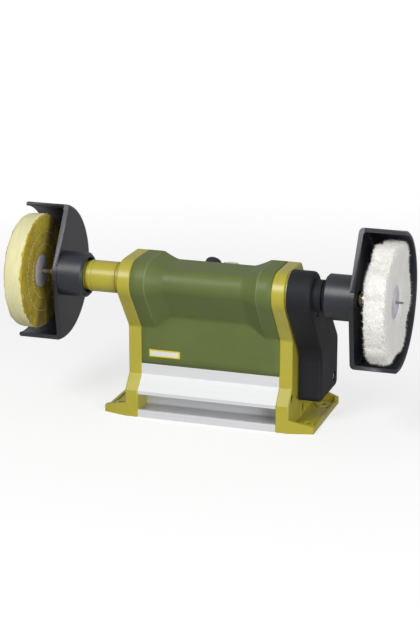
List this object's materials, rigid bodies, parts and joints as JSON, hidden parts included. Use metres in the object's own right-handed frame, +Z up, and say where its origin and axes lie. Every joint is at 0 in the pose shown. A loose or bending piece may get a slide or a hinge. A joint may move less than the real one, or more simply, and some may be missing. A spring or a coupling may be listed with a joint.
{
  "type": "bench polishing machine",
  "caption": "Small bench polishing machine: cloth buffing wheels on taper arbors in swivelling hoods at both ends of a belt-driven spindle, on a profile base with bolt-down feet.",
  "frame": {"origin": "centre of the four foot bolt holes, at floor level", "axes": "+X along the spindle towards the belt cover side, -Y towards the user at the front, +Z up"},
  "size_m": [0.342, 0.144, 0.182],
  "materials": {
    "bare_aluminium": "drawn, matt",
    "yellow_paint": "satin",
    "green_plastic": "satin",
    "black_plastic": "satin",
    "bearing_steel": "ground",
    "bright_steel": "turned",
    "motor_steel": "satin",
    "cast_aluminium": "cast",
    "magnet_ferrite": "matt",
    "bronze": "sintered",
    "belt_rubber": "matt",
    "gland_rubber": "matt",
    "board_plastic": "matt",
    "control_metal": "stamped",
    "arbor_nickel": "turned",
    "washer_steel": "pressed",
    "yellow_cotton": "stitched cloth",
    "white_muslin": "loose cloth",
    "copper_winding": "enamelled copper",
    "knob_plastic": "glossy",
    "rocker_plastic": "satin"
  },
  "bodies": {
    "frame": {"base_profile": "bare_aluminium", "left_end_plate": "yellow_paint", "right_end_plate": "yellow_paint", "housing_shell": "green_plastic", "left_spindle_tube": "yellow_paint", "belt_cover": "black_plastic", "bearing_outer_rings": "bearing_steel", "bearing_retaining_rings": "bright_steel", "motor_can": "motor_steel", "motor_front_cap": "cast_aluminium", "motor_rear_cap": "cast_aluminium", "motor_magnets": "magnet_ferrite", "motor_bushes": "bronze", "motor_brush_holders": "bronze", "motor_through_bolts": "bright_steel", "drive_belt": "belt_rubber", "control_board": "board_plastic", "speed_control": "control_metal", "switch_body": "black_plastic", "switch_pivot_pin": "bright_steel", "cable_gland": "gland_rubber", "profile_screws": "bright_steel", "housing_screws": "bright_steel", "belt_cover_screws": "bright_steel", "hood_friction_rings": "belt_rubber"},
    "spindle": {"spindle_shaft": "bright_steel", "bearing_inner_rings": "bearing_steel", "bearing_balls": "bearing_steel", "driven_pulley": "black_plastic", "pulley_set_screw": "bright_steel", "left_arbor": "arbor_nickel", "right_arbor": "arbor_nickel", "left_wheel_washers": "washer_steel", "right_wheel_washers": "washer_steel", "cotton_buffing_wheel": "yellow_cotton", "muslin_buffing_wheel": "white_muslin"},
    "motor_rotor": {"motor_shaft": "bright_steel", "motor_armature": "copper_winding", "motor_commutator": "copper_winding", "drive_pulley": "black_plastic"},
    "left_hood": {"left_hood": "black_plastic", "left_hood_rim": "black_plastic"},
    "right_hood": {"right_hood": "black_plastic", "right_hood_rim": "black_plastic"},
    "speed_knob": {"speed_knob": "knob_plastic"},
    "switch_rocker": {"switch_rocker": "rocker_plastic"}
  },
  "joints": [
    {"name": "spindle_spin", "type": "hinge", "parent": "frame", "child": "spindle", "pos_m": [0, -0.046, 0.1244], "axis": [1, 0, 0], "continuous": true},
    {"name": "motor_spin", "type": "hinge", "parent": "frame", "child": "motor_rotor", "pos_m": [0, 0.004, 0.052], "axis": [1, 0, 0], "continuous": true},
    {"name": "left_hood_swivel", "type": "hinge", "parent": "frame", "child": "left_hood", "pos_m": [0, -0.046, 0.1244], "axis": [1, 0, 0], "range_deg": [-25, 40]},
    {"name": "right_hood_swivel", "type": "hinge", "parent": "frame", "child": "right_hood", "pos_m": [0, -0.046, 0.1244], "axis": [1, 0, 0], "range_deg": [-25, 40]},
    {"name": "speed_knob_turn", "type": "hinge", "parent": "frame", "child": "speed_knob", "pos_m": [-0.0075, -0.00854, 0.12797], "axis": [0, 0.8028, 0.5962], "range_deg": [-150, 150]},
    {"name": "switch_rocker_tilt", "type": "hinge", "parent": "frame", "child": "switch_rocker", "pos_m": [0.012, -0.00934, 0.12737], "axis": [1, 0, 0], "range_deg": [0, 14]}
  ],
  "couplings": [
    {"joint": "motor_spin", "follows": "spindle_spin", "ratio": 1.6875}
  ]
}
